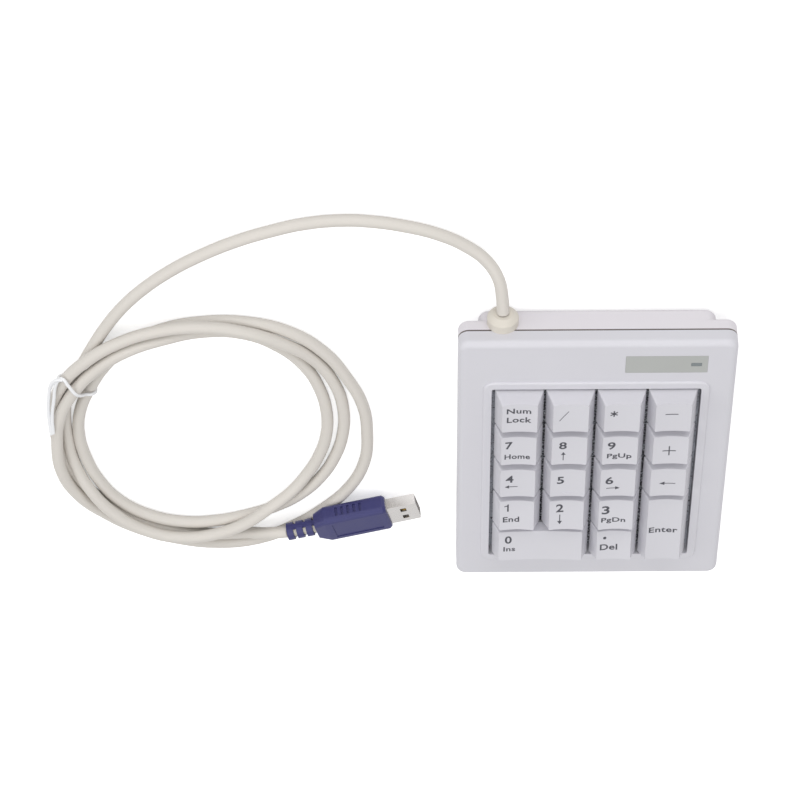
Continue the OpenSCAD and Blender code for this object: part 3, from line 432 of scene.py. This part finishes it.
def word(text, bold=0.022):
    """A word's outline as a flat mesh, before it is fitted to its place."""
    curve = bpy.data.curves.new("word", "FONT")
    curve.body = text
    curve.offset = bold
    curve.resolution_u = 5
    curve.space_character = 1.06
    holder = linked("word", curve)
    bpy.context.view_layer.update()
    mesh = bpy.data.meshes.new_from_object(holder.evaluated_get(bpy.context.evaluated_depsgraph_get()))
    points = [(v.co.x, v.co.y) for v in mesh.vertices]
    faces = [tuple(p.vertices) for p in mesh.polygons]
    bpy.data.objects.remove(holder)
    bpy.data.curves.remove(curve)
    bpy.data.meshes.remove(mesh)
    return points, faces


def arrow(length, head, half_head, half_shaft, turn):
    """An arrow from straight pieces, pointing along the turn given in degrees."""
    flat = [(0, half_shaft), (length - head, half_shaft), (length - head, -half_shaft), (0, -half_shaft),
            (length - head, half_head), (length, 0), (length - head, -half_head)]
    c, s = math.cos(math.radians(turn)), math.sin(math.radians(turn))
    return [(x * c - y * s, x * s + y * c) for x, y in flat], [(3, 2, 1, 0), (6, 5, 4)]


def star():
    """Three crossed strokes."""
    points, faces = [], []
    for k in range(3):
        a = math.radians(90 + 60 * k)
        c, s = math.cos(a), math.sin(a)
        n = len(points)
        stroke = ((-1, -0.17), (1, -0.17), (1, 0.17), (-1, 0.17))
        points += [(x * c - y * s, x * s + y * c) for x, y in stroke]
        faces.append((n, n + 1, n + 2, n + 3))
    return points, faces


def bars(*boxes):
    """Upright rectangles, each from two corners."""
    points, faces = [], []
    for x0, y0, x1, y1 in boxes:
        n = len(points)
        points += [(x0, y0), (x1, y0), (x1, y1), (x0, y1)]
        faces.append((n, n + 1, n + 2, n + 3))
    return points, faces


def slant(thick):
    """A stroke that rises to the right."""
    return [(0, 0), (thick, 0), (1, 1), (1 - thick, 1)], [(0, 1, 2, 3)]


def dot():
    """A round point."""
    points = [(math.cos(k * math.pi / 12), math.sin(k * math.pi / 12)) for k in range(24)]
    return points, [tuple(range(24))]


def legend(node, key, marks):
    """The printed marks of one key, laid on its dished top and riding with it."""
    work = bmesh.new()
    for (points, faces), (x0, y0, x1, y1) in marks:
        xs, ys = [p[0] for p in points], [p[1] for p in points]
        fx = (x1 - x0) / (max(xs) - min(xs))
        fy = (y1 - y0) / (max(ys) - min(ys))
        verts = [work.verts.new((x0 + (x - min(xs)) * fx, y0 + (y - min(ys)) * fy, 0)) for x, y in points]
        for f in faces:
            try:
                work.faces.new([verts[i] for i in f])
            except ValueError:
                pass  # a glyph's mesh can hold the same face twice
    for k in range(-20, 20):  # cut into narrow strips, so that they follow the dish
        bmesh.ops.bisect_plane(work, geom=work.verts[:] + work.edges[:] + work.faces[:],
                               plane_co=(k * 0.8, 0, 0), plane_no=(1, 0, 0))
    for v in work.verts:
        v.co = cap_place(key, v.co.x, v.co.y, dish(key, v.co.x) + PRINT_LIFT, True)
    bmesh.ops.recalc_face_normals(work, faces=work.faces[:])
    for f in work.faces:
        if f.normal.z < 0:
            f.normal_flip()
    mesh = shaped(work, "legend_" + node[4:])
    mesh.materials.append(FINISH["ink"])
    obj = linked("legend_" + node[4:], mesh)
    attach(obj, node)
    return obj


ONE = ([(0.62, 0), (0.98, 0), (0.98, 1), (0.7, 1), (0.62, 0.86), (0, 0.78), (0, 0.66), (0.62, 0.72)],
       [(0, 1, 2, 3, 4, 7), (4, 5, 6, 7)])
MINUS = bars((0, 0, 1, 1))
PLUS = bars((-1, -0.09, 1, 0.09), (-0.09, 0.09, 0.09, 1), (-0.09, -1, 0.09, -0.09))
LEFT, RIGHT = arrow(10, 3.4, 1.9, 0.36, 180), arrow(10, 3.4, 1.9, 0.36, 0)
UP, DOWN = arrow(10, 3.4, 1.9, 0.36, 90), arrow(10, 3.4, 1.9, 0.36, -90)


def seat(column, row):
    """A key of one unit."""
    return column, row, ROW[row], TOP_W


# Each key with its marks, and each mark with the box that it fills on the key's top: left, front, right, rear.
LEGENDS = {
    "key_num_lock": (seat(0, 4), [(word("Num"), (-4.9, 2.5, 4.2, 5.2)),
                                  (word("Lock"), (-4.8, -2.3, 4.4, 0.6))]),
    "key_divide": (seat(1, 4), [(slant(0.09), (-4.4, -1.4, -0.7, 3.4))]),
    "key_multiply": (seat(2, 4), [(star(), (-4.5, 0.6, -1.6, 3.7))]),
    "key_minus": (seat(3, 4), [(MINUS, (-3.0, 1.45, 1.8, 1.85))]),
    "key_7": (seat(0, 3), [(word("7"), (-5.1, 1.0, -2.3, 4.8)), (word("Home"), (-5.3, -4.4, 4.3, -1.8))]),
    "key_8": (seat(1, 3), [(word("8"), (-3.9, 0.8, -1.0, 4.5)), (UP, (-3.1, -5.2, -1.3, -0.8))]),
    "key_9": (seat(2, 3), [(word("9"), (-4.7, 0.5, -1.7, 4.4)), (word("PgUp"), (-4.8, -4.8, 4.5, -1.7))]),
    "key_plus": (seat(3, 3), [(PLUS, (-3.0, -2.9, 2.0, 2.0))]),
    "key_4": (seat(0, 2), [(word("4"), (-4.6, 0.3, -1.6, 4.1)), (LEFT, (-4.9, -2.9, 0.0, -1.1))]),
    "key_5": (seat(1, 2), [(word("5"), (-4.1, -0.5, -1.4, 3.4))]),
    "key_6": (seat(2, 2), [(word("6"), (-4.7, -0.8, -1.7, 3.1)), (RIGHT, (-4.3, -3.9, 0.9, -2.1))]),
    "key_backspace": (seat(3, 2), [(LEFT, (-3.3, -1.5, 2.9, 0.3))]),
    "key_1": (seat(0, 1), [(ONE, (-4.8, 2.0, -3.1, 5.7)), (word("End"), (-5.3, -3.5, 1.0, -0.8))]),
    "key_2": (seat(1, 1), [(word("2"), (-4.0, 1.5, -1.1, 5.6)), (DOWN, (-3.4, -4.8, -1.5, 0.2))]),
    "key_3": (seat(2, 1), [(word("3"), (-5.4, 0.4, -2.4, 4.6)), (word("PgDn"), (-5.5, -4.5, 3.8, -1.5))]),
    "key_enter": ((3, 0.5, TALL, TOP_W), [(word("Enter"), (-5.8, -1.7, 5.3, 1.3))]),
    "key_0": ((0.5, 0, ROW[0], TOP_W + PITCH), [(word("0"), (-13.8, 1.3, -11.1, 5.2)),
                                                (word("Ins"), (-14.3, -2.8, -9.7, -0.4))]),
    "key_decimal": (seat(2, 0), [(dot(), (-4.2, 3.1, -2.9, 4.5)), (word("Del"), (-5.3, -2.6, 1.5, 0.5))]),
}


BOX_FACES = ((3, 2, 1, 0), (4, 5, 6, 7), (0, 1, 5, 4), (1, 2, 6, 5), (2, 3, 7, 6), (3, 0, 4, 7))


def key_box(key, x0, y0, z0, x1, y1, z1, leaning):
    """The corners of a block on a key, in the order of BOX_FACES."""
    return [cap_place(key, x, y, z, leaning) for z in (z0, z1)
            for x, y in ((x0, y0), (x1, y0), (x1, y1), (x0, y1))]


def stem(node, key, roof):
    """The ribbed guide stem and the two wire ears under a wide key, up to its roof."""
    stem_r, stem_low, sides = 2.75, -3.1, 36
    work = bmesh.new()
    ring = [(stem_r * math.cos(2 * math.pi * k / sides), stem_r * math.sin(2 * math.pi * k / sides))
            for k in range(sides)]
    low, high = ([work.verts.new(cap_place(key, x, y, z, False)) for x, y in ring] for z in (stem_low, roof))
    work.faces.new(reversed(low))
    work.faces.new(high)
    for k in range(sides):
        n = (k + 1) % sides
        work.faces.new((low[k], low[n], high[n], high[k]))
    rib = (-0.5, -3.35, 0.4, 0.5, 3.35, roof)
    ears = [(x - 0.5, -5.3, -1.8, x + 0.5, -0.5, roof) for x in (-9.8, 9.8)]
    for block in (rib, *ears):
        c = [work.verts.new(p) for p in key_box(key, *block, False)]
        for f in BOX_FACES:
            work.faces.new([c[i] for i in f])
    mesh = shaped(work, "stem_" + node[4:])
    mesh.materials.append(FINISH["key"])
    obj = linked("stem_" + node[4:], mesh)
    soften(obj, 0.0001, 2)
    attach(obj, node)
    return obj


TOP_DEPTH = [14.9, 14.9, 14.4, 14.4, 14.3]  # by row, from the front
TALL_TOP_DEPTH = 14.5 + PITCH
KEY_BASE = 18.1
for node, (key, marks) in LEGENDS.items():
    width = KEY_BASE + key[3] - TOP_W
    if node == "key_enter":
        shell(node, key, width, KEY_BASE + PITCH, TALL_TOP_DEPTH)
    elif node == "key_0":
        # The CAD cap's top stands above the dish, so this one stands for the whole key.
        cap = shell(node, key, width, KEY_BASE, TOP_DEPTH[0], 0.0012)
        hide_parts(node)
        stem(node, key, 4.6)
    else:
        shell(node, key, width, KEY_BASE, TOP_DEPTH[key[1]])
    legend(node, key, marks)


# The raised bar that a finger finds on the middle key.
bar_mesh = bpy.data.meshes.new("bar_5")
bar_mesh.from_pydata(key_box(LEGENDS["key_5"][0], -2.6, -6.0, -DISH + 0.03, 2.6, -5.5, -DISH + 0.3, True),
                     [], BOX_FACES)
bar_mesh.materials.append(FINISH["key"])
bar = linked("bar_5", bar_mesh)
soften(bar, 0.0001)
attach(bar, "key_5")


# ---------------------------------------------------------------- domes
# The dome sheet in parts, each dome a piece of its own with its own mesh. Levels are from the deck,
# in millimetres, and the profile's heights are from the sheet's underside.
SHEET_LOW, SHEET_TOP = -7.5, -7.1
DOME = [(3.35, 0), (3.9, 0), (3.9, 0.9), (2.7, 3.0), (2.2, 3.3), (2.2, 4.3), (0, 4.3), (0, 2.6), (2.2, 2.6),
        (3.35, 0.7)]


def turned(name, key, profile, low, steps=36):
    """A closed shape turned round a key's own axis."""
    work = bmesh.new()
    verts = []
    for k in range(steps):
        c, s = math.cos(2 * math.pi * k / steps), math.sin(2 * math.pi * k / steps)
        verts.append([work.verts.new(cap_place(key, r * c, r * s, low + z, False)) for r, z in profile])
    for k in range(steps):
        here, there = verts[k], verts[(k + 1) % steps]
        for i in range(len(profile)):
            n = (i + 1) % len(profile)
            if profile[i][0] or profile[n][0]:
                work.faces.new((here[i], there[i], there[n], here[n]))
    bmesh.ops.remove_doubles(work, verts=work.verts, dist=1e-6)
    bmesh.ops.dissolve_degenerate(work, edges=work.edges, dist=1e-7)
    bmesh.ops.recalc_face_normals(work, faces=work.faces)
    return linked(name, shaped(work, name))


# The sheet itself is a copy of the CAD one, cut open below where each dome stands.
base = NODE["dome_sheet"]
sheet = linked("sheet", base.data.copy())
sheet.matrix_world = base.matrix_world.copy()
for node, (key, _) in LEGENDS.items():
    dome = turned("dome_" + node[4:], key, DOME, SHEET_LOW)
    dome.data.materials.append(base.data.materials[0])
    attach(dome, "housing")
    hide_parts("dome_sheet")
    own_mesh(dome)

CUTTER = [(0, -1), (3.92, -1), (3.92, 6), (0, 6)]  # a little wider than a dome, and right through
cutters = []
for node, (key, _) in LEGENDS.items():
    cutters.append(turned("cut_" + node[4:], key, CUTTER, SHEET_LOW))
    cut = sheet.modifiers.new("cut", "BOOLEAN")
    cut.operation, cut.solver, cut.object = "DIFFERENCE", "EXACT", cutters[-1]
bpy.context.view_layer.update()
graph = bpy.context.evaluated_depsgraph_get()
sheet_mesh = bpy.data.meshes.new_from_object(sheet.evaluated_get(graph))
sheet.modifiers.clear()
sheet.data = sheet_mesh
for cutter in cutters:
    bpy.data.objects.remove(cutter)
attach(sheet, "housing")
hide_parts("dome_sheet")


# ---------------------------------------------------------------- floor and light
# The room lights the object evenly; the background that the camera sees is plain white.
world = bpy.data.worlds.new("white_room")
bpy.context.scene.world = world
world.use_nodes = True
wt = world.node_tree
wt.nodes.clear()
out = wt.nodes.new("ShaderNodeOutputWorld")
room = wt.nodes.new("ShaderNodeBackground")
room.inputs["Color"].default_value = (1, 1, 1, 1)
room.inputs["Strength"].default_value = 0.58


def shown_rays(tree):
    """1 for the rays that show the background: to the camera, by a glossy face or through a clear one."""
    rays = tree.nodes.new("ShaderNodeLightPath")
    total = rays.outputs["Is Camera Ray"]
    for kind in ("Is Glossy Ray", "Is Transmission Ray"):
        add = tree.nodes.new("ShaderNodeMath")
        add.operation = "MAXIMUM"
        tree.links.new(total, add.inputs[0])
        tree.links.new(rays.outputs[kind], add.inputs[1])
        total = add.outputs[0]
    return total


plain = wt.nodes.new("ShaderNodeBackground")
plain.inputs["Color"].default_value = (1, 1, 1, 1)
plain.inputs["Strength"].default_value = 1.0
pick = wt.nodes.new("ShaderNodeMixShader")
wt.links.new(shown_rays(wt), pick.inputs["Fac"])
wt.links.new(room.outputs[0], pick.inputs[1])
wt.links.new(plain.outputs[0], pick.inputs[2])
wt.links.new(pick.outputs[0], out.inputs["Surface"])


def lamp(name, at, aim, size_x, size_y, power):
    """A soft rectangular lamp of that size in metres, aimed at a point."""
    data = bpy.data.lights.new(name, "AREA")
    data.shape = "RECTANGLE"
    data.size, data.size_y = size_x, size_y
    data.energy = power
    obj = linked(name, data)
    obj.location = at
    obj.rotation_mode = "QUATERNION"
    obj.rotation_quaternion = (Vector(aim) - Vector(at)).to_track_quat("-Z", "Y")


AIM = (-0.05, 0, 0)
lamp("soft_top", (-0.1, 0.25, 1.5), AIM, 1.6, 1.2, 6.5)
lamp("soft_left", (-1.3, 0.4, 0.9), AIM, 0.9, 0.9, 3.5)
lamp("soft_rear", (0.1, 1.5, 0.45), AIM, 1.6, 0.7, 7.9)

floor_mesh = bpy.data.meshes.new("floor")
FLOOR_HALF, FLOOR_Z = 4, -0.0002
corners = [(x * FLOOR_HALF, y * FLOOR_HALF, FLOOR_Z) for x, y in ((-1, -1), (1, -1), (1, 1), (-1, 1))]
floor_mesh.from_pydata(corners, [], [(0, 1, 2, 3)])
floor = linked("floor", floor_mesh)
floor_material = bpy.data.materials.new("floor_white")
floor_material.use_nodes = True
ft = floor_material.node_tree
shade = ft.nodes["Principled BSDF"]
shade.inputs["Base Color"].default_value = (0.95, 0.95, 0.95, 1)
shade.inputs["Roughness"].default_value = 1.0
shade.inputs["Specular IOR Level"].default_value = 0.0
shade.inputs["Emission Color"].default_value = (1, 1, 1, 1)
shade.inputs["Emission Strength"].default_value = 0.52
dull = ft.nodes.new("ShaderNodeBsdfDiffuse")
dull.inputs["Color"].default_value = (0.6, 0.6, 0.6, 1)
either = ft.nodes.new("ShaderNodeMixShader")
ft.links.new(shown_rays(ft), either.inputs["Fac"])
ft.links.new(dull.outputs[0], either.inputs[1])
ft.links.new(shade.outputs[0], either.inputs[2])
ft.links.new(either.outputs[0], ft.nodes["Material Output"].inputs["Surface"])
floor_mesh.materials.append(floor_material)

bpy.context.view_layer.update()
